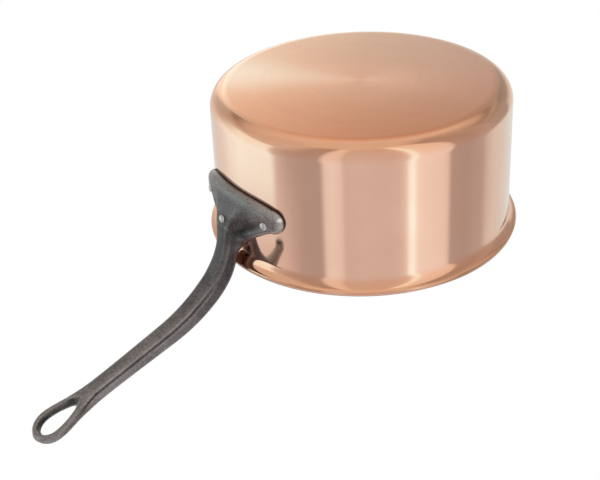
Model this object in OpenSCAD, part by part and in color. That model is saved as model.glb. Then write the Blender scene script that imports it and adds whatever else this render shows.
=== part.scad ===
// Copper saucepan with a riveted cast-iron handle, all sizes in millimetres.
// Z is up, the origin is the centre of the base's underside and the handle points along +X.

/* [Pan] */
// Outer radius of the wall where it leaves the base corner
wall_r = 100; // [90:1:110]
// Height from the underside of the base to the top of the rim
pan_h = 100; // [96:1:120]
// Angle at which the wall leans outwards
wall_lean = 1.05; // [0.5:0.05:3]
// Thickness of the copper
copper_t = 2.2; // [1.5:0.1:3]
// Thickness of the steel lining bonded inside the copper
lining_t = 0.3; // [0.2:0.1:0.8]
// Outer radius of the corner between base and wall
corner_r = 12; // [8:0.5:16]
// Radius of the pouring lip's curve
lip_r = 8; // [6:0.5:9]
// Angle through which the pouring lip turns outwards
lip_turn = 72; // [45:1:80]

/* [Handle] */
// Half of the angle that the flange wraps round the wall
flange_half_angle = 24.8; // [22:0.2:28]
// Thickness of the flange
flange_t = 6.2; // [5:0.1:7]
// Rounding of the flange's outer edges
flange_round = 2.8; // [1:0.1:2.8]
// Height of the flange's lower edge above the base
flange_z = 45.5; // [43:0.5:48]
// Length of the straight part of the shaft, up to the hanging loop
straight_len = 70; // [50:1:100]
// Slope of the straight part of the shaft above level
shaft_slope = 20; // [10:1:30]
// Length of the hanging loop's opening
loop_len = 30.5; // [26:0.5:36]
// Width of the hanging loop's opening
loop_w = 17.4; // [14:0.2:22]
// Width of the loop's bar
loop_bar = 4.4; // [4:0.1:6]
// Depth of the loop's bar
loop_depth = 5.8; // [4.5:0.1:7]

/* [Rivets] */
// Diameter of each rivet's shank and of the hole it fills
shank_d = 4; // [3:0.1:4.8]
// Diameter of each rivet's peened end, which fills a countersink in the handle
peen_d = 5.5; // [5:0.1:6.5]
// Angle of the two side rivets from the handle
rivet_angle = 17.6; // [16:0.1:19]
// Height of the two side rivets above the base
side_rivet_z = 59.5; // [58:0.5:61]
// Height of the centre rivet above the base
centre_rivet_z = 64.5; // [62:0.5:66]
// Diameter of the domed head inside the pan
head_d = 13; // [9:0.5:15]
// Height of the domed head inside the pan
head_h = 2.4; // [1.5:0.1:3]
// Height of the peened dome outside
peen_h = 0.8; // [0.3:0.1:1]

/* [Hidden] */

$fn = 180;
metal_t = copper_t + lining_t;

// Pan outline: the wall is tangent to the corner arc below it and to the lip arc above it.
corner_x = wall_r - corner_r;
lip_end = wall_lean + lip_turn;
lip_z = pan_h - (lip_r + metal_t) * sin(lip_end);
foot_x = corner_x + corner_r * cos(wall_lean);
foot_z = corner_r - corner_r * sin(wall_lean);
function wall_at(z) = foot_x + (z - foot_z) * tan(wall_lean);
lip_x = wall_at(lip_z + lip_r * sin(wall_lean)) + lip_r * cos(wall_lean);

// Points along the pan's section from the axis to the rim, a depth d inside the outer face.
function pan_line(d) = concat(
    [[0, d]],
    [for (i = [0:10])
        let (a = -90 + (90 - wall_lean) * i / 10)
        [corner_x + (corner_r - d) * cos(a), corner_r + (corner_r - d) * sin(a)]],
    [for (i = [0:10])
        let (a = wall_lean + lip_turn * i / 10)
        [lip_x - (lip_r + d) * cos(a), lip_z + (lip_r + d) * sin(a)]]
);

function reversed(list) = [for (i = [len(list) - 1:-1:0]) list[i]];

// Part of the pan's wall between two depths below the outer face.
module shell(outer, inner) {
    rotate_extrude()
        polygon(concat(pan_line(outer), reversed(pan_line(inner))));
}

// Solid cone that follows the wall, a distance grow outside the wall's outer face.
module wall_cone(grow) {
    low = flange_z - 15;
    high = flange_z + 55;
    translate([0, 0, low])
        cylinder(h = high - low, r1 = wall_at(low) + grow, r2 = wall_at(high) + grow);
}

module rivet_place(angle, z) {
    rotate([0, 0, angle])
        translate([0, 0, z])
            rotate([0, 90, 0])
                children();
}

// Distance of each rivet's outer face from the pan's axis, and the shape of its countersink.
side_reach = wall_at(side_rivet_z) + flange_t;
centre_reach = wall_at(centre_rivet_z) + 11.4;
sink_straight = 1;
sink_cone = 1.5;
past = 20;

// A rivet's shank and countersink along +Z, from one distance from the pan's axis to another.
module rivet_core(reach, start, stop) {
    flare = reach - sink_straight;
    rotate_extrude()
        polygon([
            [0, start],
            [shank_d / 2, start],
            [shank_d / 2, flare - sink_cone],
            [peen_d / 2, flare],
            [peen_d / 2, stop],
            [0, stop]
        ]);
}

// The three rivet holes, through everything from inside the pan to beyond the flange.
module rivet_holes() {
    for (a = [-rivet_angle, rivet_angle])
        rivet_place(a, side_rivet_z)
            rivet_core(side_reach, wall_r - past, side_reach + past);
    rivet_place(0, centre_rivet_z)
        rivet_core(centre_reach, wall_r - past, centre_reach + past);
}

// A rounded rectangle of w by d with corners of radius r, as sixteen points [across, up].
function section(w, d, r) =
    [for (c = [[1, 1, 0], [-1, 1, 90], [-1, -1, 180], [1, -1, 270]])
        for (i = [0:3])
            let (a = c[2] + 30 * i)
            [c[0] * (w / 2 - r) + r * cos(a), c[1] * (d / 2 - r) + r * sin(a)]];

// A solid through a row of rings, each a list of the same number of points.
module loft(rings) {
    n = len(rings[0]);
    last = len(rings) - 1;
    points = [for (r = rings) each r];
    sides = [for (i = [0:last - 1])
        for (j = [0:n - 1])
            let (a = i * n + j, b = i * n + (j + 1) % n)
            for (t = [[a, b + n, b], [a, a + n, b + n]])
                t];
    start_cap = [for (j = [0:n - 1]) j];
    end_cap = [for (j = [n - 1:-1:0]) last * n + j];
    polyhedron(points = points, faces = concat([start_cap], sides, [end_cap]));
}

// Flange: a row of upright rings round the wall. The lower edge is slightly bowed, the wing
// tips are round, and the upper edge climbs from each wing to the neck.
tip_r = 8.4;
tip_angle = tip_r / wall_r * 180 / PI;
wing_angle = flange_half_angle - tip_angle;
wing_z = flange_z + tip_r + 3.4;
flange_inset = 4;
tip_thinning = 1.4;
climb = [[0, 38.5], [4, 38], [5.4, 35.5], [7.6, 32.6], [10, 29.7], [13.6, 25.9], [17.2, 22], [20, 19.8]];
function tip_rise(a) = sqrt(max(0, tip_r * tip_r - pow(max(0, a - wing_angle) * wall_r * PI / 180, 2)));
function bow(a) = (wing_z - tip_r - flange_z) * pow(min(a / wing_angle, 1), 3);
function low_edge(a) = flange_z + bow(a) + tip_r - tip_rise(a);
function high_edge(a) = a < wing_angle ? flange_z + lookup(a, climb) : wing_z + tip_rise(a);
function flange_ring(a) =
    let (
        low = low_edge(abs(a)),
        high = high_edge(abs(a)),
        t = flange_t - tip_thinning * pow(a / flange_half_angle, 4),
        w = t + flange_inset,
        x = wall_at((low + high) / 2) + (t - flange_inset) / 2,
        r = min(flange_round, (high - low) / 2.5)
    )
    [for (q = section(w, high - low, r))
        [(x + q[0]) * cos(a), (x + q[0]) * sin(a), (low + high) / 2 + q[1]]];

module flange() {
    reach = flange_half_angle - 0.15;
    steps = 32;
    difference() {
        loft([for (i = [0:steps]) flange_ring(reach * cos(180 * i / steps))]);
        wall_cone(0);
    }
}

// A ring of the shaft, whose centre lies in the handle's plane, heading h degrees above level.
function shaft_ring(x, z, h, w, d) =
    [for (q = section(w, d, 0.28 * min(w, d))) [x - q[1] * sin(h), q[0], z + q[1] * cos(h)]];

// Centreline of the shaft: a tight arc up from the flange, a wider arc outwards, then straight.
start_x = wall_r + 9.9;
start_z = flange_z + 24.5;
start_heading = 94.7;
tight_r = 51.6;
wide_r = 103;
turn_heading = 43.6;
tight_len = tight_r * (start_heading - turn_heading) * PI / 180;
wide_len = wide_r * (turn_heading - shaft_slope) * PI / 180;
shaft_len = tight_len + wide_len + straight_len;
function arc_step(r, h0, h1) = r * [sin(h0) - sin(h1), cos(h1) - cos(h0)];
function heading(s) =
    s < tight_len ? start_heading - s / tight_r * 180 / PI :
    s < tight_len + wide_len ? turn_heading - (s - tight_len) / wide_r * 180 / PI :
    shaft_slope;
turn_point = [start_x, start_z] + arc_step(tight_r, start_heading, turn_heading);
straight_point = turn_point + arc_step(wide_r, turn_heading, shaft_slope);
function centre(s) =
    s < tight_len ? [start_x, start_z] + arc_step(tight_r, start_heading, heading(s)) :
    s < tight_len + wide_len ? turn_point + arc_step(wide_r, turn_heading, heading(s)) :
    straight_point + (s - tight_len - wide_len) * [cos(shaft_slope), sin(shaft_slope)];

// Width and depth of the shaft, by the fraction of its length from the flange to the loop.
widths = [[0.05, 14.6], [0.1, 13.8], [0.22, 14.6], [0.32, 14.4], [0.5, 13.5], [0.72, 12.5], [0.86, 11.9], [0.94, 12.4], [1, 16.4]];
depths = [[0.05, 10], [0.1, 11.4], [0.2, 13.4], [0.31, 14.3], [0.42, 13.8], [0.62, 12], [0.75, 11], [0.93, 10.4], [1, 8]];
function shaft_ring_at(f) =
    let (s = f * shaft_len, c = centre(s))
    shaft_ring(c[0], c[1], heading(s), lookup(f, widths), lookup(f, depths));

// The root rises out of the flange: each row is [out from the wall, height, heading, width, depth].
root_rows = [
    [1, 50, 75, 34, 6],
    [4, 58, 68, 27, 8],
    [7, 64.5, 75, 20, 9],
    [9.2, 71, 88, 16.4, 9.4]
];
function root_rings() = [for (p = root_rows)
    shaft_ring(wall_r + p[0], p[1] + flange_z - 45.5, p[2], p[3], p[4])];

module shaft() {
    loft(concat(root_rings(), [for (i = [2:40]) shaft_ring_at(i / 40)]));
}

// Half of the loop's path along the middle of its bar: a curve out of the shaft and a round end.
bar_r = (loop_w + loop_bar) / 2;
end_t = loop_len - loop_w / 2;
function curve_point(u) =
    pow(1 - u, 3) * [-10, 2.4] + 3 * pow(1 - u, 2) * u * [2, 5] +
    3 * (1 - u) * u * u * [0.55 * end_t, bar_r] + pow(u, 3) * [end_t, bar_r];
half_path = concat(
    [for (i = [0:9]) curve_point(i / 10)],
    [for (a = [90:-12.5:15]) [end_t + bar_r * cos(a), bar_r * sin(a)]]
);
loop_path = concat(half_path, [[end_t + bar_r, 0]], [for (p = reversed(half_path)) [p[0], -p[1]]]);

// Place a point of the loop, [along, across, up], at the end of the shaft.
function loop_place(p) =
    let (c = centre(shaft_len))
    [
        c[0] + p[0] * cos(shaft_slope) - p[2] * sin(shaft_slope),
        p[1],
        c[1] + p[0] * sin(shaft_slope) + p[2] * cos(shaft_slope)
    ];
function loop_ring(i) =
    let (
        last = len(loop_path) - 1,
        d = loop_path[min(i + 1, last)] - loop_path[max(i - 1, 0)],
        t = d / norm(d),
        p = loop_path[i],
        depth = loop_depth + max(0, 1 - max(0, p[0] + 4) / 16) * 2.2
    )
    [for (q = section(loop_bar, depth, 0.28 * loop_bar)) loop_place([p[0] - t[1] * q[0], p[1] + t[0] * q[0], q[1]])];

module hanging_loop() {
    loft([for (i = [0:len(loop_path) - 1]) loop_ring(i)]);
}

module copper_body() {
    color([0.86, 0.58, 0.44])
        difference() {
            shell(0, copper_t);
            rivet_holes();
        }
}

module steel_lining() {
    color([0.78, 0.78, 0.77])
        difference() {
            shell(copper_t, metal_t);
            rivet_holes();
        }
}

module cast_handle() {
    color([0.3, 0.3, 0.31])
        difference() {
            union() {
                flange();
                difference() {
                    shaft();
                    wall_cone(0);
                }
                hanging_loop();
            }
            rivet_holes();
        }
}

// A rivet along +Z, with its end face at a height of reach from the pan's axis.
module rivet(angle, z, reach) {
    head_ball = (head_d * head_d / 4 + head_h * head_h) / (2 * head_h);
    peen_ball = (peen_d * peen_d / 4 + peen_h * peen_h) / (2 * peen_h);
    seat = wall_at(z) - metal_t;
    color([0.72, 0.72, 0.7]) {
        intersection() {
            wall_cone(-metal_t);
            rivet_place(angle, z)
                translate([0, 0, seat + head_ball - head_h])
                    sphere(r = head_ball);
        }
        rivet_place(angle, z)
            rivet_core(reach, seat - head_h / 2, reach);
        rivet_place(angle, z)
            intersection() {
                translate([0, 0, reach - sink_straight / 2])
                    cylinder(h = sink_straight / 2 + peen_h, d = peen_d);
                translate([0, 0, reach + peen_h - peen_ball])
                    sphere(r = peen_ball);
            }
    }
}

module left_rivet() {
    rivet(rivet_angle, side_rivet_z, side_reach);
}

module right_rivet() {
    rivet(-rivet_angle, side_rivet_z, side_reach);
}

module centre_rivet() {
    rivet(0, centre_rivet_z, centre_reach);
}

copper_body();
steel_lining();
cast_handle();
left_rivet();
right_rivet();
centre_rivet();
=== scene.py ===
import math

import bpy
import numpy as np
from mathutils import Matrix, Vector


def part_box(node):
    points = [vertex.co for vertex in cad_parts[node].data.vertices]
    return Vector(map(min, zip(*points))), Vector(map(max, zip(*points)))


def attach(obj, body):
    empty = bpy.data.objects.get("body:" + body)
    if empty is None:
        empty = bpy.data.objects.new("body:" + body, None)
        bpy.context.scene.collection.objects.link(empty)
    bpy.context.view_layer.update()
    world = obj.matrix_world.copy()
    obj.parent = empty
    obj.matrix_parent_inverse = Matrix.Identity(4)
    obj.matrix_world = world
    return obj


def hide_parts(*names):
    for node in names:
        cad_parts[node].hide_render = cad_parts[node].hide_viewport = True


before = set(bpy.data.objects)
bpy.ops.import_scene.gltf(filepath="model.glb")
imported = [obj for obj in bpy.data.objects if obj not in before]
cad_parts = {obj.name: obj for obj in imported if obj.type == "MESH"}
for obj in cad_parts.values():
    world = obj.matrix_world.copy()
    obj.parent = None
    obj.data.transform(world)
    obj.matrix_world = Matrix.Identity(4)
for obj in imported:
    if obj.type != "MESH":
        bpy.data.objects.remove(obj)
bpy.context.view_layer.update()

# A copper saucepan: fine meshes that stand for the CAD nodes, with procedural materials.
# Shapes are worked out in millimetres, in the CAD frame, and built in metres.
MM = 0.001


def box(node):
    """A CAD node's lowest and highest corner, in whole tenths of a millimetre."""
    return [[round(c / MM, 1) for c in corner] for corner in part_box(node)]


# The pan. Its height, the copper's thickness and the rim's radius come from the CAD nodes' boxes.
PAN_H = box("steel_lining")[1][2]
COPPER_T = box("steel_lining")[0][2]
RIM_R = box("copper_body")[1][0]
LEAN = math.radians(1.05)
METAL_T = 2.5
LIP_R = 8.0
LIP_TURN = math.radians(72)
LIP_END = LEAN + LIP_TURN
LIP_Z = PAN_H - (LIP_R + METAL_T) * math.sin(LIP_END)
CORNER_R = 12.0
CORNER_SOFT = 1.22  # above 1, the corner rolls off gently from the flat base
CORNER_LONG = 1.06  # how much longer the corner is than a plain arc
# The wall runs from its foot, where the corner ends, to the lip
FOOT_Z = CORNER_R - CORNER_R * math.sin(LEAN)
LIP_OUT = LIP_R * (math.cos(LEAN) - math.cos(LIP_END))
FOOT_X = RIM_R - LIP_OUT - (LIP_Z + LIP_R * math.sin(LEAN) - FOOT_Z) * math.tan(LEAN)
WALL_R = round(FOOT_X + CORNER_R * (1 - math.cos(LEAN)), 1)
AROUND = 240
# The satin underside ends on the first of the corner's roll-off
SATIN_R = 91.2
SATIN_Z = 0.56
# Roundings of the copper's and the lining's edges at the rim
COPPER_EDGE = 0.6
LINING_EDGE = 0.12

# The handle. FLANGE_Z is its lowest point.
FLANGE_Z = box("cast_handle")[0][2]
FLANGE_T = 6.2
FLANGE_HALF = 24.8
TIP_R = 8.4
TIP_ANGLE = math.degrees(TIP_R / WALL_R)
WING_ANGLE = FLANGE_HALF - TIP_ANGLE
BOW = 3.4  # how much higher the lower edge is at the tips than in the middle
WING_Z = FLANGE_Z + TIP_R + BOW
# Height of the upper edge over the flange's lowest point, by the angle from the middle
CLIMB = ((0, 38.5), (4, 38), (5.4, 35.5), (7.6, 32.6), (10, 29.7), (13.6, 25.9), (17.2, 22), (20, 19.8))
# The shaft's centreline: a tight bend from its start, a wide bend and a straight stretch
START = (WALL_R + 9.9, FLANGE_Z + 24.5)
START_HEADING = math.radians(94.7)
TURN_HEADING = math.radians(43.6)
SLOPE = math.radians(20)
TIGHT_R = 51.6
WIDE_R = 103.0
STRAIGHT = 70.0
TIGHT_LEN = TIGHT_R * (START_HEADING - TURN_HEADING)
WIDE_LEN = WIDE_R * (TURN_HEADING - SLOPE)
SHAFT_LEN = TIGHT_LEN + WIDE_LEN + STRAIGHT
# Width and depth of the shaft, by the fraction of its length
WIDTHS = (
    (0.05, 14.6), (0.1, 13.8), (0.22, 14.6), (0.32, 14.4), (0.5, 13.5), (0.72, 12.5), (0.86, 11.9),
    (0.94, 12.4), (1, 14.6),
)
DEPTHS = (
    (0.05, 10), (0.1, 11.4), (0.2, 13.4), (0.31, 14.3), (0.42, 13.8), (0.62, 12), (0.75, 11),
    (0.93, 10.4), (1, 8),
)
# The root below the shaft: distance out from the wall, height, heading, width and depth
ROOT_ROWS = ((0, 50, 75, 34, 6), (3, 57.5, 68, 27, 8), (6.2, 64.5, 73, 20, 9), (8.8, 71, 88, 16.4, 9.4))
LOOP_LEN = 30.5
LOOP_W = 17.4
LOOP_BAR = 4.4
LOOP_DEPTH = 6.4
CROWN = 1.3  # how far the shaft's underside bulges
CREASE_UP = 3.1  # height of the crease over the underside
CREASE_W = 1.0
CREASE_DEPTH = 1.8
SHAFT_END = 0.985  # fraction of its length at which the shaft gives way to the loop
EDGE_R = 5.2  # rounding of the flange's front edges
BACK_R = 1.0
SUNK = 0.3  # how deep the flange's back is sunk into the wall
TIP_THINNING = 1.4  # how much thinner the flange is at its tips
ROOT_FILLET = 10.0
FORK_FILLET = 2.6  # between the shaft and the loop, and the next between the loop's two sides
LOOP_FILLET = 2.0
LOOP_SWELL = 2.0  # how much deeper the loop is where it leaves the shaft
LOOP_OVERLAP = 9  # how far inside the shaft it starts
# The hollow between each wing's upper edge and the root, as arc from the middle and height
VALLEY = ((29, 60.5), (22, 64), (16, 67.5), (12, 72), (10, 79))
VALLEY_W = 3.6
VALLEY_DEPTH = 1.0
ROUND_BAR = 0.46  # rounding of an almost round bar, by its thickness
GRID = 0.6  # spacing of the points at which the handle's shape is sampled
MAP_STEP = 0.25  # spacing in the flat maps of the flange and the loop
FLANGE_MAP = 32  # how far its map goes, in degrees from the middle
LOOP_MAP = (20, 36)  # how far its map goes before and after the shaft's end

# The rivets
RIVET_ANGLE = 17.6
SHANK_D = 4.0
PEEN_D = 5.5
PEEN_H = 1.5
PEEN_EDGE = 0.25  # how far the peened end stands out before its dome
PEEN_BLUNT = 0.8  # below 1, the dome is blunter than an ellipse
COUNTERSINK = (2.5, 1.0)  # how deep below the peened end's edge the shank starts and ends to widen
HEAD_D = 13.0
HEAD_H = 2.4
HEAD_SINK = 0.35  # how deep the head is sunk into the lining


def smoothstep(low, high, x):
    """A smooth rise from 0 at the low value to 1 at the high one."""
    t = np.clip((np.asarray(x, float) - low) / (high - low), 0, 1)
    return t * t * (3 - 2 * t)


def lookup(x, rows):
    """The value at x in rows of place and value."""
    return np.interp(x, [r[0] for r in rows], [r[1] for r in rows])


# ---------------------------------------------------------------- the pan's section


def wall_at(z):
    """Radius of the wall's outer face at a height."""
    return FOOT_X + (z - FOOT_Z) * math.tan(LEAN)


LIP_X = wall_at(LIP_Z + LIP_R * math.sin(LEAN)) + LIP_R * math.cos(LEAN)


def pan_line():
    """The pan's outer face from the axis to the rim, as rows of radius, height and heading."""
    turn = math.pi / 2 - LEAN
    # the corner's angle grows slowly at first, and its points are where that angle leads
    u = np.linspace(0, 1, 401)
    angle = turn * u**CORNER_SOFT
    step = np.diff(u, prepend=0)
    run = np.cumsum(np.cos(angle) * step)
    rise = np.cumsum(np.sin(angle) * step)
    length = CORNER_R * turn * CORNER_LONG
    foot_z = length * rise[-1]
    start = wall_at(foot_z) - length * run[-1]
    rows = [(r, 0.0, 0.0) for r in np.linspace(0, start - 6, 24)]
    rows += [(r, 0.0, 0.0) for r in np.linspace(start - 4.5, start, 4)]
    rows += [(start + length * run[i], length * rise[i], angle[i]) for i in range(12, 401, 12)]
    top = LIP_Z + LIP_R * math.sin(LEAN)
    ease = np.linspace(0, 1, 26)[1:-1]
    for z in foot_z + (top - foot_z) * (0.5 - 0.5 * np.cos(math.pi * ease)):
        rows.append((wall_at(z), z, turn))
    for a in np.linspace(LEAN, LIP_END, 22):
        rows.append((LIP_X - LIP_R * math.cos(a), LIP_Z + LIP_R * math.sin(a), math.pi / 2 - a))
    return rows


def inside(row, depth):
    """The point a depth inside a row of the outer face."""
    r, z, h = row
    return (max(r - depth * math.sin(h), 0.0), z + depth * math.cos(h))


def rim_arc(row, near, far, radius):
    """The rim's edge between two depths, with both corners rounded."""
    turns = np.linspace(0, math.pi / 2, 6)
    stops = [(near + radius * (1 - math.cos(a)), a) for a in turns]
    stops += [(far - radius * (1 - math.cos(a)), a) for a in turns[::-1]]
    points = []
    for depth, a in stops:
        back = radius * (1 - math.sin(a))
        r, z = inside(row, depth)
        points.append((r - back * math.cos(row[2]), z - back * math.sin(row[2])))
    return points


def shell_section(near, far, radius):
    """A closed section of the wall between two depths, from the axis out and back."""
    rows = pan_line()
    outer = [inside(r, near) for r in rows[:-1]]
    inner = [inside(r, far) for r in rows[:-1]]
    return outer + rim_arc(rows[-1], near, far, radius) + inner[::-1]


# ---------------------------------------------------------------- mesh building


def build(name, points, faces):
    """A smooth-shaded object from points in millimetres."""
    mesh = bpy.data.meshes.new(name)
    mesh.from_pydata((np.asarray(points, float) * MM).tolist(), [], faces)
    mesh.validate()
    mesh.shade_smooth()
    obj = bpy.data.objects.new(name, mesh)
    bpy.context.collection.objects.link(obj)
    return obj


def lathe(name, section, around):
    """A solid of revolution about Z. The section starts and ends on the axis."""
    ring = section[1:-1]
    turn = 2 * math.pi * np.arange(around) / around
    points = [(r * math.cos(a), r * math.sin(a), z) for r, z in ring for a in turn]
    faces = []
    for i in range(len(ring) - 1):
        for j in range(around):
            k = (j + 1) % around
            faces.append((i * around + j, i * around + k, (i + 1) * around + k, (i + 1) * around + j))
    first, last = len(points), len(points) + 1
    points += [(0, 0, section[0][1]), (0, 0, section[-1][1])]
    end = (len(ring) - 1) * around
    for j in range(around):
        k = (j + 1) % around
        faces.append((first, k, j))
        faces.append((last, end + j, end + k))
    return build(name, points, faces)


def settle(obj):
    """Applies an object's modifiers to its mesh."""
    graph = bpy.context.evaluated_depsgraph_get()
    mesh = bpy.data.meshes.new_from_object(obj.evaluated_get(graph))
    obj.modifiers.clear()
    obj.data = mesh
    return mesh


def declare(obj, node):
    """Declares a piece: it rides on the root, and stands for a CAD node."""
    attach(obj, "root")
    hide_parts(node)


# ---------------------------------------------------------------- the cast handle


def heading(s):
    """The shaft's heading above level at a distance along it."""
    if s < TIGHT_LEN:
        return START_HEADING - s / TIGHT_R
    return max(TURN_HEADING - (s - TIGHT_LEN) / WIDE_R, SLOPE)


def arc_step(radius, h0, h1):
    """The way from one heading to the next along an arc that bends down."""
    return np.array([math.sin(h0) - math.sin(h1), math.cos(h1) - math.cos(h0)]) * radius


def centre(s):
    """The shaft's centreline in the handle's plane, as distance out and height."""
    if s < TIGHT_LEN:
        return np.array(START) + arc_step(TIGHT_R, START_HEADING, heading(s))
    turn = np.array(START) + arc_step(TIGHT_R, START_HEADING, TURN_HEADING)
    if s < TIGHT_LEN + WIDE_LEN:
        return turn + arc_step(WIDE_R, TURN_HEADING, heading(s))
    straight = turn + arc_step(WIDE_R, TURN_HEADING, SLOPE)
    return straight + (s - TIGHT_LEN - WIDE_LEN) * np.array([math.cos(SLOPE), math.sin(SLOPE)])


def past_corner(p, q, r):
    """Distance from a rounded corner, where p and q are the distances past its two sides."""
    p, q = p + r, q + r
    return np.hypot(np.maximum(p, 0), np.maximum(q, 0)) + np.minimum(np.maximum(p, q), 0) - r


def merged(a, b, fillet):
    """Two solids joined with a fillet, as distances from their surfaces."""
    h = np.maximum(1 - np.abs(a - b) / fillet, 0)
    return np.minimum(a, b) - h * h * fillet / 4


def nearest(points, line):
    """The nearest of a line's points to each point, and its distance."""
    index, gap = [], []
    for i in range(0, len(points), 4000):
        square = ((points[i : i + 4000, None] - line[None]) ** 2).sum(-1)
        index.append(square.argmin(1))
        gap.append(np.sqrt(square.min(1)))
    return np.concatenate(index), np.concatenate(gap)


def lattice(*axes):
    """Every combination of the axes' values, one in a row."""
    return np.stack([g.ravel() for g in np.meshgrid(*axes, indexing="ij")], 1)


def between(table, k):
    """Rows of a table at fractional positions."""
    k = np.clip(k, 0, len(table) - 1.001)
    i = k.astype(int)
    f = (k - i)[..., None]
    return table[i] * (1 - f) + table[i + 1] * f


def dense(line):
    """A line with many more points between its own."""
    line = np.array(line, float)
    k = np.linspace(0, len(line) - 1, 60)
    return np.stack([np.interp(k, range(len(line)), column) for column in line.T], 1)


def shaft_line():
    """Stations along the shaft: distance out, height, heading, width, depth and fraction of the way."""
    rows = [(WALL_R + out, z, math.radians(h), w, d) for out, z, h, w, d in ROOT_ROWS]
    for f in np.linspace(0.05, SHAFT_END, 100):
        s = f * SHAFT_LEN
        rows.append((*centre(s), heading(s), lookup(f, WIDTHS), lookup(f, DEPTHS)))
    rows = np.array(rows)
    at = np.r_[0, np.cumsum(np.hypot(*np.diff(rows[:, :2], axis=0).T))]
    fine = np.linspace(0, at[-1], 700)
    return np.stack([np.interp(fine, at, column) for column in rows.T] + [fine / at[-1]])


def shaft_field(x, y, z):
    """Distance from the shaft: a rounded bar with a crowned underside and a crease in each side."""
    # each place in the handle's plane takes after the nearest station: its heading h, width w,
    # depth d and fraction f. n is the height over the centreline, and b is the way across.
    line = shaft_line()
    flat = lattice(x, z)
    index, _ = nearest(flat, line[:2].T)
    h = line[2][index]
    off = flat - line[:2].T[index]
    n = (off[:, 1] * np.cos(h) - off[:, 0] * np.sin(h)).reshape(len(x), 1, -1)
    past = (off[:, 0] * np.cos(h) + off[:, 1] * np.sin(h)).reshape(n.shape)
    w, d, f = (line[i][index].reshape(n.shape) for i in (3, 4, 5))
    b = y[None, :, None]
    crown = CROWN * smoothstep(0.08, 0.25, f)
    up = n - crown * (2 * b / w) ** 2 * np.clip(-2 * n / d, 0, 1)
    # almost a round bar at the root, with smaller roundings further out
    soft = np.minimum(w, d) * (ROUND_BAR - 0.24 * smoothstep(0.05, 0.25, f))
    field = past_corner(b - w / 2, np.abs(up) - d / 2, soft)
    crease = np.exp(-(((n + d / 2 - CREASE_UP) / CREASE_W) ** 2)) * smoothstep(0.72, 0.95, 2 * b / w)
    field = field + CREASE_DEPTH * crease * smoothstep(0.31, 0.5, f)
    # both ends are cut off, the outer one with a notch where the loop opens
    index = index.reshape(n.shape)
    field = np.where(index == 0, np.maximum(field, -past), field)
    return np.where(index == line.shape[1] - 1, np.maximum(field, past - b), field)


def tip_rise(a):
    """Half of the flange's height in its round tip, at an angle round the wall."""
    past = np.maximum(0, a - WING_ANGLE) * WALL_R * math.pi / 180
    return np.sqrt(np.maximum(0, TIP_R**2 - past**2))


def flange_edges(a):
    """Heights of the flange's lower and upper edge at an angle round the wall."""
    bow = BOW * np.minimum(a / WING_ANGLE, 1) ** 3
    low = FLANGE_Z + bow + TIP_R - tip_rise(a)
    high = np.where(a < WING_ANGLE, FLANGE_Z + lookup(a, CLIMB), WING_Z + tip_rise(a))
    return low, high


def flange_field(x, y, z):
    """Distance from a plate bent round the wall, and the depth of its valleys."""
    angles = FLANGE_HALF * np.sin(np.linspace(0, math.pi / 2, 300))
    low, high = flange_edges(angles)
    arc = np.radians(angles) * WALL_R
    rim = np.r_[np.c_[arc, low], np.c_[arc, high]]
    a = np.arange(0, FLANGE_MAP, MAP_STEP)
    # a flat map of the plate, unrolled from the wall
    places = lattice(np.radians(a) * WALL_R, z)
    gap = nearest(places, rim)[1].reshape(len(a), -1)
    low, high = flange_edges(np.minimum(a, FLANGE_HALF))
    inner = (a < FLANGE_HALF)[:, None] & (z > low[:, None]) & (z < high[:, None])
    valley = nearest(places, dense(VALLEY))[1].reshape(gap.shape)
    angle = np.degrees(np.arctan2(y[None], x[:, None]))
    edge = between(np.where(inner, -gap, gap), angle / MAP_STEP)
    out = np.hypot(x[:, None], y[None])[..., None] - wall_at(z)
    thick = FLANGE_T - TIP_THINNING * (angle / FLANGE_HALF)[..., None] ** 4
    front = past_corner(edge, out - thick, EDGE_R)
    back = past_corner(edge, -SUNK - out, BACK_R)
    groove = VALLEY_DEPTH * np.exp(-((between(valley, angle / MAP_STEP) / VALLEY_W) ** 2))
    return np.maximum(front, back), groove * smoothstep(2, 4, out)


def loop_field(x, y, z):
    """Distance from the hanging loop, a bar that runs round a teardrop opening."""
    bar_r = (LOOP_W + LOOP_BAR) / 2
    end = LOOP_LEN - LOOP_W / 2
    # each side is one curve from the shaft to the widest place, and half of the round end
    u = np.linspace(0, 1, 200)[:, None]
    curve = (1 - u) ** 3 * [-10, 2.4] + 3 * (1 - u) ** 2 * u * [2, 5]
    curve = curve + 3 * (1 - u) * u * u * [0.55 * end, bar_r] + u**3 * [end, bar_r]
    bend = np.linspace(math.pi / 2, 0, 100)
    path = np.r_[curve, np.c_[end + bar_r * np.cos(bend), bar_r * np.sin(bend)]]
    # a flat map of the loop, along the shaft's line and across it
    start = -LOOP_MAP[0]
    t = np.arange(start, LOOP_MAP[1], MAP_STEP)
    near_side = nearest(lattice(t, y), path)[1].reshape(len(t), -1)
    far_side = nearest(lattice(t, y), path * [1, -1])[1].reshape(len(t), -1)
    table = merged(near_side, far_side, LOOP_FILLET)
    at = centre(SHAFT_LEN)
    flat = lattice(x, z) - at
    along = (flat[:, 0] * math.cos(SLOPE) + flat[:, 1] * math.sin(SLOPE)).reshape(len(x), 1, -1)
    n = (flat[:, 1] * math.cos(SLOPE) - flat[:, 0] * math.sin(SLOPE)).reshape(along.shape)
    bar = np.swapaxes(between(table, (along[:, 0] - start) / MAP_STEP), 1, 2)
    depth = LOOP_DEPTH + LOOP_SWELL * np.maximum(0, 1 - np.maximum(0, along + 4) / 16)
    field = past_corner(bar - LOOP_BAR / 2, np.abs(n) - depth / 2, ROUND_BAR * LOOP_BAR)
    return np.maximum(field, -LOOP_OVERLAP - along)


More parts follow.
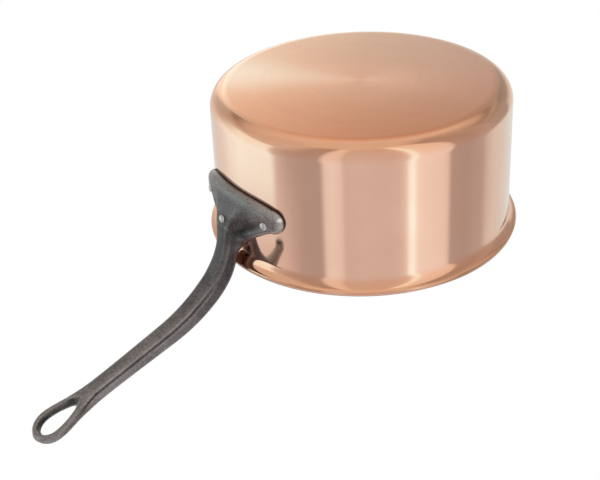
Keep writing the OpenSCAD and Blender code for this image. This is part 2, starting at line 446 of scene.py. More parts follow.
def surface(field, corner, step):
    """Points and faces where a sampled field crosses zero, with one point in each crossed cell."""
    inner = field < 0
    ends = lattice((0, 1), (0, 1), (0, 1))
    size = np.array(field.shape) - 1
    count = sum(inner[tuple(slice(o, o + n) for o, n in zip(e, size))].astype(int) for e in ends)
    cells = np.argwhere((count > 0) & (count < 8))
    value = [field[tuple((cells + e).T)] for e in ends]
    total = np.zeros((len(cells), 3))
    hits = np.zeros((len(cells), 1))
    for i in range(8):
        for j in range(i + 1, 8):
            if np.abs(ends[i] - ends[j]).sum() == 1:
                cross = (value[i] < 0) != (value[j] < 0)
                f = value[i] / np.where(cross, value[i] - value[j], 1)
                total += np.where(cross[:, None], ends[i] + f[:, None] * (ends[j] - ends[i]), 0)
                hits += cross[:, None]
    number = np.full(size, -1)
    number[tuple(cells.T)] = np.arange(len(cells))
    faces = []
    unit = np.eye(3, dtype=int)
    for axis in range(3):
        u, v = unit[(axis + 1) % 3], unit[(axis + 2) % 3]
        spots = np.argwhere(np.diff(inner, axis=axis))
        quads = np.stack([number[tuple((spots - o).T)] for o in (0, u, u + v, v)], 1)
        outward = inner[tuple(spots.T)]
        faces.append(np.where(outward[:, None], quads, quads[:, ::-1]))
    return corner + step * (cells + total / hits), np.concatenate(faces).tolist()


def handle_field():
    """Distance from the handle on a grid of x, y and z, and the grid's lowest corner."""
    # half of the grid is worked out, from the middle plane to a little past the flange's tip
    x = np.arange(88, 264, GRID)
    y = np.arange(0, 46, GRID)
    z = np.arange(43.2, 174, GRID)
    field = np.full((len(x), len(y), len(z)), 9.0)  # a distance well outside
    side = y < 16  # holds the shaft and the loop
    field[:, side] = shaft_field(x, y[side], z)
    near, low = x < 130, z < 92  # hold the flange
    block = np.ix_(near, range(len(y)), low)
    plate, groove = flange_field(x[near], y, z[low])
    # the fillet is large on the root and shrinks towards the flange's lower edge
    fillet = 0.5 + ROOT_FILLET * smoothstep(47, 61, z[low])
    root = merged(shaft_field(x[near], y, z[low]), plate, fillet) + groove
    # nothing reaches deeper into the wall than the flange's back
    out = np.hypot(x[near][:, None], y[None])[..., None] - wall_at(z[low])
    field[block] = np.maximum(root, -SUNK - out)
    far, high = x > 212, z > 128  # hold the loop
    block = np.ix_(far, side, high)
    field[block] = merged(field[block], loop_field(x[far], y[side], z[high]), FORK_FILLET)
    return np.concatenate([field[:, :0:-1], field], 1), np.array([x[0], -y[-1], z[0]])


def handle(material):
    """The cast handle, smoothed and thinned out to fewer faces."""
    field, corner = handle_field()
    points, faces = surface(field, corner, GRID)
    obj = build("cast_handle_body", points, faces)
    smooth = obj.modifiers.new("smooth", "SMOOTH")
    smooth.factor = 0.5
    smooth.iterations = 3
    fewer = obj.modifiers.new("fewer", "DECIMATE")
    fewer.ratio = 0.45
    mesh = settle(obj)
    mesh.shade_smooth()
    mesh.materials.clear()
    mesh.materials.append(material)
    declare(obj, "cast_handle")
    return obj


def surface_out(obj, angle, z):
    """Distance of the handle's outer surface from the axis, along a rivet."""
    way = Vector((math.cos(math.radians(angle)), math.sin(math.radians(angle)), 0))
    outside = 150 * MM  # a distance from the axis that is past the flange
    spot = obj.ray_cast(way * outside + Vector((0, 0, z * MM)), -way)[1]
    return math.hypot(spot.x, spot.y) / MM


# ---------------------------------------------------------------- rivets


def rivet(node, angle, iron, material):
    """A domed head inside the pan, a shank, and a peened end that fills its countersink."""
    low, high = box(node)
    z = (low[2] + high[2]) / 2
    reach = surface_out(iron, angle, z) + PEEN_EDGE
    seat = wall_at(z) - METAL_T
    section = [(0, seat - HEAD_H)]
    ball = (HEAD_D**2 / 4 + HEAD_H**2) / (2 * HEAD_H)
    full = math.asin(HEAD_D / 2 / ball)
    for a in np.linspace(0, full, 18)[1:]:
        section.append((ball * math.sin(a), seat - HEAD_H + ball * (1 - math.cos(a))))
    back = seat + HEAD_SINK
    section += [(HEAD_D / 2 - 0.1, back), (SHANK_D / 2, back), (SHANK_D / 2, reach - COUNTERSINK[0])]
    section += [(PEEN_D / 2, reach - COUNTERSINK[1]), (PEEN_D / 2, reach)]
    for a in np.linspace(0, math.pi / 2, 9)[1:]:
        section.append((PEEN_D / 2 * math.cos(a) ** PEEN_BLUNT, reach + PEEN_H * math.sin(a)))
    section[-1] = (0, section[-1][1])
    obj = lathe(f"{node}_body", section, 48)
    turn = Matrix.Rotation(math.radians(angle), 4, "Z") @ Matrix.Translation((0, 0, z * MM))
    obj.data.transform(turn @ Matrix.Rotation(math.pi / 2, 4, "Y"))
    obj.data.materials.append(material)
    declare(obj, node)


# ---------------------------------------------------------------- node helpers


class Tree:
    """Short calls for making shader nodes."""

    def __init__(self, owner):
        owner.use_nodes = True
        self.tree = owner.node_tree
        self.tree.nodes.clear()

    def add(self, kind, **settings):
        node = self.tree.nodes.new(kind)
        for key, value in settings.items():
            setattr(node, key, value)
        return node

    def link(self, source, target):
        self.tree.links.new(source, target)

    def feed(self, socket, value):
        if isinstance(value, bpy.types.NodeSocket):
            self.link(value, socket)
        else:
            socket.default_value = value

    def math(self, operation, *values):
        node = self.add("ShaderNodeMath", operation=operation)
        for socket, value in zip(node.inputs, values):
            self.feed(socket, value)
        return node.outputs[0]

    def blend(self, factor, a, b, mode="MIX"):
        """Two colours mixed. Inputs 6 and 7 and output 2 are the Mix node's colours."""
        node = self.add("ShaderNodeMix", data_type="RGBA", blend_type=mode)
        self.feed(node.inputs["Factor"], factor)
        self.feed(node.inputs[6], a)
        self.feed(node.inputs[7], b)
        return node.outputs[2]

    def ramp(self, value, stops):
        node = self.add("ShaderNodeValToRGB")
        marks = node.color_ramp.elements
        while len(marks) < len(stops):
            marks.new(0.5)
        for mark, (at, colour) in zip(marks, stops):
            mark.position = at
            mark.color = colour if len(colour) == 4 else (*colour, 1)
        self.feed(node.inputs[0], value)
        return node.outputs[0]

    def noise(self, vector, scale, detail=3.0, rough=0.5, stretch=None):
        if stretch:
            node = self.add("ShaderNodeMapping")
            node.inputs["Scale"].default_value = stretch
            self.link(vector, node.inputs["Vector"])
            vector = node.outputs[0]
        node = self.add("ShaderNodeTexNoise")
        node.inputs["Scale"].default_value = scale
        node.inputs["Detail"].default_value = detail
        node.inputs["Roughness"].default_value = rough
        self.link(vector, node.inputs["Vector"])
        return node.outputs["Fac"]

    def span(self, value, low, high, to_low, to_high):
        node = self.add("ShaderNodeMapRange")
        for socket, v in zip(node.inputs, (value, low, high, to_low, to_high)):
            self.feed(socket, v)
        return node.outputs[0]

    def bump(self, height, distance, strength=1.0, normal=None):
        node = self.add("ShaderNodeBump")
        node.inputs["Strength"].default_value = strength
        node.inputs["Distance"].default_value = distance
        self.link(height, node.inputs["Height"])
        if normal:
            self.link(normal, node.inputs["Normal"])
        return node.outputs[0]

    def fade(self, value, low, high):
        """0 at the first number and 1 at the second, which may be the smaller."""
        return self.span(value, low, high, 0, 1)

    def fold(self, operation, first, *others):
        """One operation over many values."""
        for value in others:
            first = self.math(operation, first, value)
        return first

    def apart(self, value, number):
        """How far a value is from a number."""
        return self.math("ABSOLUTE", self.math("SUBTRACT", value, number))

    def filtered(self, colour, by):
        """A colour, multiplied by another."""
        return self.blend(1.0, colour, by, "MULTIPLY")

    def tint(self, factor, colour, by):
        """A colour, multiplied by another where a factor is 1."""
        return self.blend(factor, colour, self.filtered(colour, by))

    def chart(self, value, low, high, rows):
        """A colour looked up in rows of value and colour, which lie between two values."""
        stops = [((at - low) / (high - low), colour) for at, colour in rows]
        return self.ramp(self.fade(value, low, high), stops)

    def mixed(self, factor, first, second):
        """Two shaders mixed, with the second where the factor is 1."""
        node = self.add("ShaderNodeMixShader")
        for socket, source in zip(node.inputs, (factor, first, second)):
            self.link(source, socket)
        return node.outputs[0]

    def facing(self, place, target):
        """How squarely a surface faces a point, as a cosine."""
        way = self.add("ShaderNodeVectorMath", operation="SUBTRACT")
        way.inputs[0].default_value = target
        self.link(place, way.inputs[1])
        unit = self.add("ShaderNodeVectorMath", operation="NORMALIZE")
        self.link(way.outputs[0], unit.inputs[0])
        node = self.add("ShaderNodeVectorMath", operation="DOT_PRODUCT")
        self.link(unit.outputs[0], node.inputs[0])
        self.link(self.add("ShaderNodeTexCoord").outputs["Normal"], node.inputs[1])
        return node.outputs["Value"]

    def combine(self, value):
        """A vector with a value as its x."""
        node = self.add("ShaderNodeCombineXYZ")
        self.feed(node.inputs[0], value)
        return node.outputs[0]

    def object_place(self):
        """Object coordinates, in metres."""
        return self.add("ShaderNodeTexCoord").outputs["Object"]

    def split(self, vector):
        """A vector's x, y and z."""
        parts = self.add("ShaderNodeSeparateXYZ")
        self.link(vector, parts.inputs[0])
        return tuple(parts.outputs)

    def millimetres(self, place):
        """x, y and z in millimetres."""
        scaled = self.add("ShaderNodeVectorMath", operation="SCALE")
        self.link(place, scaled.inputs[0])
        scaled.inputs["Scale"].default_value = 1 / MM
        return self.split(scaled.outputs[0])

    def length(self, x, y):
        """How long a way is that goes x in one direction and y across it."""
        squares = self.math("ADD", self.math("MULTIPLY", x, x), self.math("MULTIPLY", y, y))
        return self.math("SQRT", squares)

    def towards(self, x, y, angle):
        """How far a place lies from the axis in a direction, in degrees from the handle."""
        turn = math.radians(angle)
        return self.math("MULTIPLY_ADD", x, math.cos(turn), self.math("MULTIPLY", y, math.sin(turn)))


def metal(name, anisotropic=0.0):
    """A metal: its material, its node tree and the Principled shader on its output."""
    material = bpy.data.materials.new(name)
    tree = Tree(material)
    shader = tree.add("ShaderNodeBsdfPrincipled")
    shader.inputs["Metallic"].default_value = 1.0
    shader.inputs["Anisotropic"].default_value = anisotropic
    out = tree.add("ShaderNodeOutputMaterial")
    tree.link(shader.outputs[0], out.inputs[0])
    return material, tree, shader


# ---------------------------------------------------------------- materials
# Distances on the pan are in millimetres here too. Noises take their place in metres, apart from
# the rings, which take the radius in millimetres.

# The side of the pan that faces the camera, in degrees from the handle
CAMERA_SIDE = -53.0

COPPER = (0.93, 0.615, 0.48, 1)
# painted reflection: the deeper tone at the corner and the lip stands in for warmer reflected light
WARM_REFLECTION_COPPER = (0.90, 0.50, 0.33, 1)
RIM_COPPER = (0.58, 0.34, 0.25, 1)
MARKS = (0.965, 0.94, 0.92, 1)  # multiplies the copper in its faint handling marks


def polished_copper():
    """Mirror-polished copper with faint handling marks, fine hairlines round the wall, and a painted
    reflection: a deeper tint at the corner and the lip.
    """
    material, t, shader = metal("polished_copper")
    place = t.object_place()
    height = t.millimetres(place)[2]
    cloud = t.noise(place, 26, 4)
    hairs = t.noise(place, 60, 3, 0.6, stretch=(1, 1, 30))
    # deeper in tone at the corner and the lip, a painted reflection of the warmer light there, and deepest
    # at the cut rim
    corner = t.math("MULTIPLY", t.fade(height, 0.3, 0.8), t.fade(height, 9.5, 3))
    warm_reflection = t.math("MAXIMUM", corner, t.fade(height, PAN_H - 12, PAN_H - 4))
    colour = t.blend(warm_reflection, COPPER, WARM_REFLECTION_COPPER)
    colour = t.blend(t.fade(height, PAN_H - 2.6, PAN_H - 1.8), colour, RIM_COPPER)
    colour = t.tint(t.fade(cloud, 0.35, 0.7), colour, MARKS)
    t.link(colour, shader.inputs["Base Color"])
    rough = t.math("ADD", t.span(cloud, 0.3, 0.75, 0.05, 0.085), t.span(hairs, 0.4, 0.8, 0, 0.03))
    t.link(rough, shader.inputs["Roughness"])
    t.link(t.bump(hairs, 0.01 * MM, 0.35), shader.inputs["Normal"])
    return material


def brush_round(t, shader):
    """Turns the shader's anisotropy so that its brush lines run round the pan's axis."""
    tangent = t.add("ShaderNodeTangent", direction_type="RADIAL", axis="Z")
    t.link(tangent.outputs[0], shader.inputs["Tangent"])
    shader.inputs["Anisotropic Rotation"].default_value = 0.25


# The satin base's painted light, shade and reflections: its colours at the back and the front, and what
# multiplies them
SATIN_PAINTED_PALE_BACK = (0.86, 0.61, 0.475, 1)
SATIN_PAINTED_DEEP_FRONT = (0.77, 0.365, 0.21, 1)
PAINTED_FAN_HIGHLIGHT = (0.97, 0.76, 0.58, 1)
PAINTED_SHADE_RIGHT = (0.95, 0.83, 0.79, 1)
PAINTED_LIGHT_LEFT = (1.08, 0.98, 0.85, 1)
PAINTED_LIGHT_MIDDLE = (1.12, 1.16, 1.2, 1)
PAINTED_RING_HIGHLIGHT = (1.28, 1.4, 1.55, 1)
IN_CLOUDS = (1.04, 1.06, 1.08, 1)
SPREAD = 85  # distance from the axis over which the tones change


def satin_tone_and_painted_light(t, x, y, radius, mottle):
    """The satin base's tones, with light, shade and reflections painted on the pan, laid out from the side
    that faces the camera.
    """
    front, left = t.towards(x, y, CAMERA_SIDE), t.towards(x, y, CAMERA_SIDE + 90)
    # painted light and shade: deeper towards the front and the right, paler towards the back, the left and
    # the middle
    colour = t.blend(t.fade(front, -SPREAD, SPREAD), SATIN_PAINTED_PALE_BACK, SATIN_PAINTED_DEEP_FRONT)
    colour = t.filtered(colour, t.blend(t.fade(left, -SPREAD, SPREAD), PAINTED_SHADE_RIGHT, PAINTED_LIGHT_LEFT))
    colour = t.tint(t.fade(radius, 50, 0), colour, PAINTED_LIGHT_MIDDLE)
    # painted highlights: a pale ring where the satin rolls over, and a pale fan on the left, both painted
    # reflections of the studio's light
    ring = t.math("MULTIPLY", t.fade(radius, 87, 89.6), t.span(left, -60, 50, 0.5, 1))
    colour = t.tint(ring, colour, PAINTED_RING_HIGHLIGHT)
    fan = t.math("DIVIDE", t.towards(x, y, CAMERA_SIDE + 103), radius)
    fan = t.math("POWER", t.math("MAXIMUM", fan, 0), 16)
    colour = t.blend(t.math("MULTIPLY", fan, t.fade(radius, 0, SPREAD)), colour, PAINTED_FAN_HIGHLIGHT)
    return t.tint(mottle, colour, IN_CLOUDS)


def brushed_copper():
    """The satin base: concentric brush lines round the pan's axis, with painted light and reflections in
    its colour.
    """
    material, t, shader = metal("brushed_copper", anisotropic=0.6)
    place = t.object_place()
    x, y, _ = t.millimetres(place)
    radius = t.length(x, y)
    rings = t.noise(t.combine(radius), 2.6, 4, 0.7)
    broad = t.noise(t.combine(radius), 0.16, 3, 0.6)
    cloud = t.noise(place, 18, 4)
    mottle = t.math("ADD", t.math("MULTIPLY", broad, 0.5), t.math("MULTIPLY", cloud, 0.5))
    colour = satin_tone_and_painted_light(t, x, y, radius, t.fade(mottle, 0.4, 0.62))
    t.link(colour, shader.inputs["Base Color"])
    t.link(t.span(rings, 0.3, 0.7, 0.25, 0.33), shader.inputs["Roughness"])
    brush_round(t, shader)
    t.link(t.bump(rings, 0.012 * MM, 0.5), shader.inputs["Normal"])
    return material


LINING_TONES = ((0.72, 0.71, 0.69, 1), (0.79, 0.78, 0.765, 1))
RIVET_TONES = ((0.46, 0.45, 0.44, 1), (0.66, 0.645, 0.63, 1))


def lining_steel():
    """Satin stainless steel, brushed round the inside of the pan."""
    material, t, shader = metal("lining_steel", anisotropic=0.4)
    place = t.object_place()
    x, y, height = t.millimetres(place)
    lines = t.noise(place, 50, 4, 0.65, stretch=(1, 1, 40))
    rings = t.noise(t.combine(t.length(x, y)), 1.5, 4, 0.7)
    cloud = t.noise(place, 20, 4)
    colour = t.blend(t.fade(cloud, 0.35, 0.7), *LINING_TONES)
    t.link(colour, shader.inputs["Base Color"])
    # rings on the flat bottom give way to lines round the wall
    flat = t.fade(height, 12, 4)
    on_wall = t.math("MULTIPLY", lines, t.math("SUBTRACT", 1, flat))
    grain = t.math("ADD", t.math("MULTIPLY", rings, flat), on_wall)
    t.link(t.span(grain, 0.3, 0.7, 0.22, 0.34), shader.inputs["Roughness"])
    brush_round(t, shader)
    t.link(t.bump(grain, 0.01 * MM, 0.4), shader.inputs["Normal"])
    return material


DARK_IRON = (0.057, 0.0515, 0.051, 1)
PALE_IRON = (0.12, 0.1085, 0.108, 1)
# black for painted shade in creases, hollows and the gap at the wall
PAINTED_SHADE_BLACK = (0.028, 0.026, 0.026, 1)
# colours of the painted highlights, paler towards the tips
EDGE_HIGHLIGHT_IRON = (0.37, 0.36, 0.36, 1)
TIP_HIGHLIGHT_IRON = (0.56, 0.54, 0.53, 1)
# the colour of the painted glint
PAINTED_GLINT = (1, 0.99, 0.98, 1)
# painted light on the flange's lower part multiplies the tone by this
PAINTED_LIGHT_LOW_FLANGE = (1.37, 1.32, 1.32, 1)
SPECKLE = ((0.38, (0.68, 0.66, 0.68)), (0.62, (1.32, 1.29, 1.33)))
# Painted light and shade: how pale the iron is made, by the distance out from the axis
PAINTED_LIGHT_ALONG = (
    (90, 1.9), (100, 2.0), (105, 1.35), (112, 0.75), (125, 1.1), (137, 1.5), (155, 2.0), (185, 2.5),
    (260, 2.5),
)
# The line of painted shade beside the root: its height at the middle plane, and how it rises with the way
# across
SHADE_LINE_Z = 77.3
SHADE_LINE_RISE = -0.58
WING_ACROSS = 35  # where the lower edge has risen by the whole bow
# The painted glint at each tip: its distance from the middle plane, and its height over the lowest point
GLINT_ACROSS = 42.2
GLINT_UP = 7.6


def iron_tone(t, place, x, z, pits):
    """Mottled and speckled grey, with painted shade round the root and painted light on the wings, the
    hanging end and the flange's lower part.
    """
    cloud = t.noise(place, 60, 4, 0.6)
    mottle = t.math("ADD", t.math("MULTIPLY", cloud, 0.55), t.math("MULTIPLY", pits, 0.45))
    tone = t.blend(t.fade(mottle, 0.38, 0.64), DARK_IRON, PALE_IRON)
    painted_along = [(at, (v, v, v)) for at, v in PAINTED_LIGHT_ALONG]
    tone = t.filtered(tone, t.chart(x, PAINTED_LIGHT_ALONG[0][0], PAINTED_LIGHT_ALONG[-1][0], painted_along))
    tone = t.filtered(tone, t.ramp(t.noise(place, 1500, 2, 0.6), SPECKLE))
    # painted light on the lower part of the flange
    lower = t.math("MULTIPLY", t.fade(z, 68, 50), t.fade(x, 125, 115))
    return t.tint(lower, tone, PAINTED_LIGHT_LOW_FLANGE)


def iron_painted_shade(t, place, x, z, across, gap, point):
    """Where painted shade makes the iron black: in creases, in the hollow by the root, in the gap at the
    wall and on the loop's inner faces.
    """
    # painted shade in creases, where the surface is hollow
    crevices = t.fade(point, 0.4992, 0.477)
    # painted shade in the hollow that falls from the root to each wing
    over = t.math("SUBTRACT", z, t.math("MULTIPLY_ADD", across, SHADE_LINE_RISE, SHADE_LINE_Z))
    hollow = t.math("MULTIPLY", t.fade(t.math("ABSOLUTE", over), 4.5, 0.5), t.fade(x, 122, 114))
    ends = t.math("MULTIPLY", t.fade(across, 6, 11), t.fade(across, 29, 22))
    hollow = t.fold("MULTIPLY", hollow, ends, 0.85)
    # a painted shadow in the gap at the wall
    crack = t.fade(gap, 1.7, 0.4)
    # painted shade on the inner faces of the hanging loop, which face its middle
    way = LOOP_LEN / 2 * np.array([math.cos(SLOPE), math.sin(SLOPE)])
    out, up = (centre(SHAFT_LEN) + way) * MM
    inward = t.math("MULTIPLY", t.facing(place, (out, 0, up)), t.fade(x, 224, 230))
    return t.fold("MAXIMUM", crevices, hollow, crack, t.span(inward, 0.2, 0.65, 0, 0.97))


def iron_painted_highlights(t, x, z, across, pits, point):
    """Where highlights are painted on the iron: on edges, and on the flange's lower edge and tips."""
    bow = t.math("MULTIPLY", t.math("POWER", t.math("DIVIDE", across, WING_ACROSS), 3), BOW)
    over = t.math("SUBTRACT", z, t.math("ADD", bow, FLANGE_Z))
    # painted highlight along the flange's lower edge and at the tips
    lower_highlight = t.math("MAXIMUM", t.fade(over, 4.5, 0.5), t.fade(across, 39, 43.5))
    lower_highlight = t.math("MULTIPLY", lower_highlight, t.fade(x, 110, 108))
    edge = t.math("MAXIMUM", t.fade(point, 0.5, 0.53), lower_highlight)
    return t.math("MULTIPLY", edge, t.span(pits, 0.3, 0.6, 0.35, 0.9))


def cast_iron():
    """Dark cast iron: fine sand-cast grain, mottled tone, painted shade in the hollows, and painted
    highlights on edges, the flange's lower edge and the tips.
    """
    material, t, shader = metal("cast_iron")
    place = t.object_place()
    x, y, z = t.millimetres(place)
    across = t.math("ABSOLUTE", y)
    gap = t.math("SUBTRACT", t.length(x, y), t.math("MULTIPLY_ADD", z, math.tan(LEAN), wall_at(0)))
    grain = t.noise(place, 2200, 3, 0.65)
    pits = t.noise(place, 700, 4, 0.6)
    point = t.add("ShaderNodeNewGeometry").outputs["Pointiness"]
    tone = iron_tone(t, place, x, z, pits)
    # painted shade: black in creases, hollows, the gap at the wall and inside the loop
    tone = t.blend(iron_painted_shade(t, place, x, z, across, gap, point), tone, PAINTED_SHADE_BLACK)
    # nothing is bright in the gap at the wall
    clear = t.fade(gap, 0.8, 2.4)
    # painted highlights on edges, the flange's lower edge and the tips
    highlight_tone = t.blend(t.fade(across, 24, 40), EDGE_HIGHLIGHT_IRON, TIP_HIGHLIGHT_IRON)
    tone = t.blend(t.math("MULTIPLY", iron_painted_highlights(t, x, z, across, pits, point), clear), tone, highlight_tone)
    # a painted glint, a highlight on the lower corner of each wing's tip
    up, out = t.math("SUBTRACT", z, FLANGE_Z + GLINT_UP), t.math("SUBTRACT", across, GLINT_ACROSS)
    glint = t.math("MULTIPLY", t.fade(t.length(up, out), 2, 0.6), clear)
    t.link(t.blend(glint, tone, PAINTED_GLINT), shader.inputs["Base Color"])
    t.link(t.span(pits, 0.3, 0.7, 0.32, 0.46), shader.inputs["Roughness"])
    coarse = t.bump(pits, 0.25 * MM, 0.5)
    t.link(t.bump(grain, 0.06 * MM, 0.5, coarse), shader.inputs["Normal"])
    return material


def rivet_steel():
    """Peened stainless steel with small hammer facets."""
    material, t, shader = metal("rivet_steel")
    place = t.object_place()
    dents = t.noise(place, 900, 2, 0.5)
    fine = t.noise(place, 4000, 3, 0.6)
    colour = t.blend(t.fade(dents, 0.35, 0.65), *RIVET_TONES)
    t.link(colour, shader.inputs["Base Color"])
    t.link(t.span(fine, 0.3, 0.7, 0.28, 0.45), shader.inputs["Roughness"])
    t.link(t.bump(dents, 0.12 * MM, 0.5, t.bump(fine, 0.03 * MM, 0.4)), shader.inputs["Normal"])
    return material


# ---------------------------------------------------------------- studio

# The camera that was fitted to the outlines in the photograph, in metres and the CAD frame
CAMERA_AT = Vector((0.382833, -0.508036, -0.267672))
CAMERA_FORWARD = Vector((-0.4634, 0.7157, 0.5225))
CAMERA_UP = Vector((-0.3301, 0.4078, -0.8513))
LENS = 61.99
SENSOR = 36

# Panels round the pan: degrees from the camera's side, brightness, and how cool the light is.
PANELS = (
    (-180, 0.82, 0.2), (-145, 0.78, 0.2), (-130, 0.86, 0.3), (-118, 0.97, 0.75), (-104, 1.03, 1.0),
    (-71, 1.03, 1.08), (-66, 0.70, 0.2), (-60.5, 0.60, 0.05), (-54, 0.54, -0.1), (-44, 0.49, -0.1),
    (-31, 0.485, -0.1), (-27, 0.87, 0.2), (-22, 0.90, 0.25), (-16, 0.85, 0.2), (-12.5, 0.70, 0),
    (0, 0.71, 0.05), (20, 0.70, 0), (29, 0.75, 0), (33, 0.85, 0.2), (35.5, 1.08, 0.9), (38.5, 1.1, 1.2),
    (42, 0.98, 0.4), (47, 0.96, 0.2), (62, 0.91, 0.15), (66.5, 0.86, 0.1), (70, 0.49, -0.1),
    (84, 0.47, -0.15), (102, 0.52, -0.05), (110, 0.70, 0.2), (118, 0.75, 0.3), (140, 0.76, 0.6),
    (180, 0.78, 0.5),
)
# How the panels warm towards the base, by the sine of the elevation.
WARMTH = (
    (-0.9, (1, 1.0, 0.94)), (-0.75, (1, 0.99, 0.95)), (-0.5, (1, 0.965, 0.93)), (0.0, (1, 0.95, 0.90)),
    (0.42, (1, 1, 1)),
)
# Light from beyond the base on the far side, by the sine of its elevation.
FAR_LIGHT = (
    (-1.0, (0.765, 0.738, 0.66)), (-0.92, (0.80, 0.75, 0.67)), (-0.78, (0.785, 0.72, 0.64)),
    (-0.67, (0.64, 0.59, 0.52)), (-0.59, (0.37, 0.345, 0.30)), (-0.55, (0.37, 0.345, 0.30)),
    (-0.505, (0.62, 0.59, 0.53)), (-0.42, (0.78, 0.80, 0.79)), (-0.3, (0.84, 0.90, 0.90)),
    (0.0, (0.84, 0.90, 0.91)),
)
# How bright that light is round the far side, in degrees from the camera's side.
FAR_SIDES = (
    (-180, 1.0), (-156, 1.0), (-149, 0.78), (-130, 0.62), (-100, 0.62), (0, 0.6), (105, 0.52), (128, 0.52),
    (146, 0.46), (163, 0.46), (172, 0.85), (180, 1.0),
)
# Where the ring's dim parts and the fan's panel are, in degrees from the camera's side
LEFT_SIDE = -98
RIGHT_SIDE = 120
FAN_SIDE = -166
# The light from them, and from overhead
DIM_ABOVE = (0.73, 0.66, 0.62, 1)
DIM_BELOW = (0.72, 0.68, 0.62, 1)
DIM_RIGHT = (0.46, 0.43, 0.42, 1)
OVERHEAD = (1.15, 1.15, 1.14, 1)
FAN_LIGHT = (1.18, 1.2, 1.17, 1)


def panel_ring(t, turn, z):
    """The ring of panels, by the turn from the camera's side and the sine of the elevation."""
    rows = [(a, (v, v * (0.93 + 0.3 * cool), v * (0.90 + 0.35 * cool))) for a, v, cool in PANELS]
    ring = t.filtered(t.chart(turn, -180, 180, rows), t.chart(z, -1, 1, WARMTH))
    # the left of the ring is dimmer high up and low down, and the right is dimmer low down
    left = t.fade(t.apart(turn, LEFT_SIDE), 50, 30)
    ring = t.blend(t.math("MULTIPLY", left, t.fade(z, 0.43, 0.51)), ring, DIM_ABOVE)
    ring = t.blend(t.math("MULTIPLY", left, t.fade(z, -0.36, -0.48)), ring, DIM_BELOW)
    right = t.math("MULTIPLY", t.fade(t.apart(turn, RIGHT_SIDE), 18, 12), t.fade(z, 0.3, 0.18))
    ring = t.blend(right, ring, DIM_RIGHT)
    return t.blend(t.fade(z, 0.8, 0.9), ring, OVERHEAD)


def far_light(t, turn, z):
    """The light from beyond the base, by the turn and the sine of the elevation."""
    far = t.chart(z, -1, 1, FAR_LIGHT)
    sides = t.chart(turn, -180, 180, [(a, (v, v, v)) for a, v in FAR_SIDES])
    return t.tint(t.fade(z, -0.55, -0.42), far, sides)


def world_light():
    """White to the camera. What the metal sees is a ring of soft panels, open towards the base."""
    world = bpy.data.worlds.new("studio")
    bpy.context.scene.world = world
    t = Tree(world)
    x, y, z = t.split(t.add("ShaderNodeTexCoord").outputs["Generated"])
    turn = t.math("SUBTRACT", math.radians(CAMERA_SIDE), t.math("ARCTAN2", y, x))
    turn = t.math("DEGREES", t.math("WRAP", turn, math.pi, -math.pi))
    beyond = t.math("MULTIPLY", t.fade(t.math("ABSOLUTE", turn), 100, 140), t.fade(z, 0.05, -0.2))
    beneath = t.fade(z, -0.9, -0.97)
    colour = t.blend(t.math("MAXIMUM", beyond, beneath), panel_ring(t, turn, z), far_light(t, turn, z))
    # a bright soft panel low on the far left draws the fan across the brushed base
    height = t.math("MULTIPLY", t.fade(z, -0.55, -0.3), t.fade(z, 0.1, -0.05))
    fan = t.math("MULTIPLY", t.fade(t.apart(turn, FAN_SIDE), 17, 9), height)
    white = t.add("ShaderNodeBackground")
    white.inputs["Color"].default_value = (1, 1, 1, 1)
    lit = t.add("ShaderNodeBackground")
    t.link(t.blend(fan, colour, FAN_LIGHT), lit.inputs["Color"])
    from_camera = t.add("ShaderNodeLightPath").outputs["Is Camera Ray"]
    out = t.add("ShaderNodeOutputWorld")
    t.link(t.mixed(from_camera, lit.outputs[0], white.outputs[0]), out.inputs[0])


# The floor: half of its side, its height, and the distances over which it fades
FLOOR_HALF = 6000
FLOOR_Z = -0.6
FLOOR_FADE = (350, 2200)


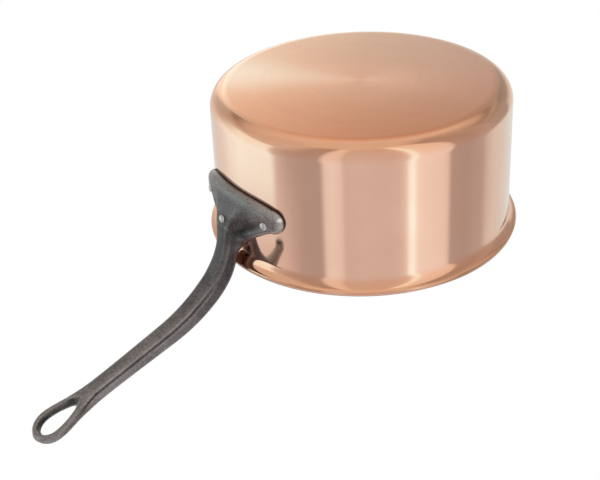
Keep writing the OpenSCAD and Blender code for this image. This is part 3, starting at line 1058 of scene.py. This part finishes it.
def pale_floor():
    """A pale floor that fades into the white backdrop and is clear from below."""
    material = bpy.data.materials.new("pale_floor")
    t = Tree(material)
    shader = t.add("ShaderNodeBsdfPrincipled")
    shader.inputs["Base Color"].default_value = (0.82, 0.82, 0.82, 1)
    shader.inputs["Roughness"].default_value = 0.8
    x, y, _ = t.millimetres(t.object_place())
    white = t.add("ShaderNodeEmission")
    faded = t.mixed(t.fade(t.length(x, y), *FLOOR_FADE), shader.outputs[0], white.outputs[0])
    below = t.add("ShaderNodeNewGeometry").outputs["Backfacing"]
    clear = t.add("ShaderNodeBsdfTransparent")
    out = t.add("ShaderNodeOutputMaterial")
    t.link(t.mixed(below, faded, clear.outputs[0]), out.inputs[0])
    return material


def floor():
    """A floor just under the pan, which only the camera sees."""
    corners = [(x * FLOOR_HALF, y * FLOOR_HALF, FLOOR_Z) for x, y in ((-1, -1), (1, -1), (1, 1), (-1, 1))]
    obj = build("studio_floor", corners, [(0, 1, 2, 3)])
    obj.data.materials.append(pale_floor())
    for ray in ("diffuse", "glossy", "transmission", "shadow", "volume_scatter"):
        setattr(obj, f"visible_{ray}", False)


def camera():
    """A camera that looks up at the base, with its own up turned over."""
    data = bpy.data.cameras.new("camera")
    data.lens = LENS
    data.sensor_width = SENSOR
    obj = bpy.data.objects.new("camera", data)
    bpy.context.collection.objects.link(obj)
    back = -CAMERA_FORWARD.normalized()
    up = (CAMERA_UP - CAMERA_UP.dot(back) * back).normalized()
    turn = Matrix((up.cross(back), up, back)).transposed().to_4x4()
    obj.matrix_world = Matrix.Translation(CAMERA_AT) @ turn
    bpy.context.scene.camera = obj


# ---------------------------------------------------------------- the pieces


def copper_body(wall, base):
    """The copper shell. Its underside is satin, and all the rest is polished."""
    obj = lathe("copper_shell", shell_section(0, COPPER_T, COPPER_EDGE), AROUND)
    obj.data.materials.append(wall)
    obj.data.materials.append(base)
    for face in obj.data.polygons:
        middle = face.center / MM
        if middle.z < SATIN_Z and math.hypot(middle.x, middle.y) < SATIN_R:
            face.material_index = 1
    declare(obj, "copper_body")


def lining(material):
    """The steel lining, a thin shell inside the copper."""
    obj = lathe("lining_shell", shell_section(COPPER_T, METAL_T, LINING_EDGE), AROUND)
    obj.data.materials.append(material)
    declare(obj, "steel_lining")


copper_body(polished_copper(), brushed_copper())
lining(lining_steel())
iron = handle(cast_iron())
steel = rivet_steel()
rivet("left_rivet", RIVET_ANGLE, iron, steel)
rivet("right_rivet", -RIVET_ANGLE, iron, steel)
rivet("centre_rivet", 0, iron, steel)
world_light()
floor()
camera()
bpy.context.scene.view_settings.view_transform = "Standard"
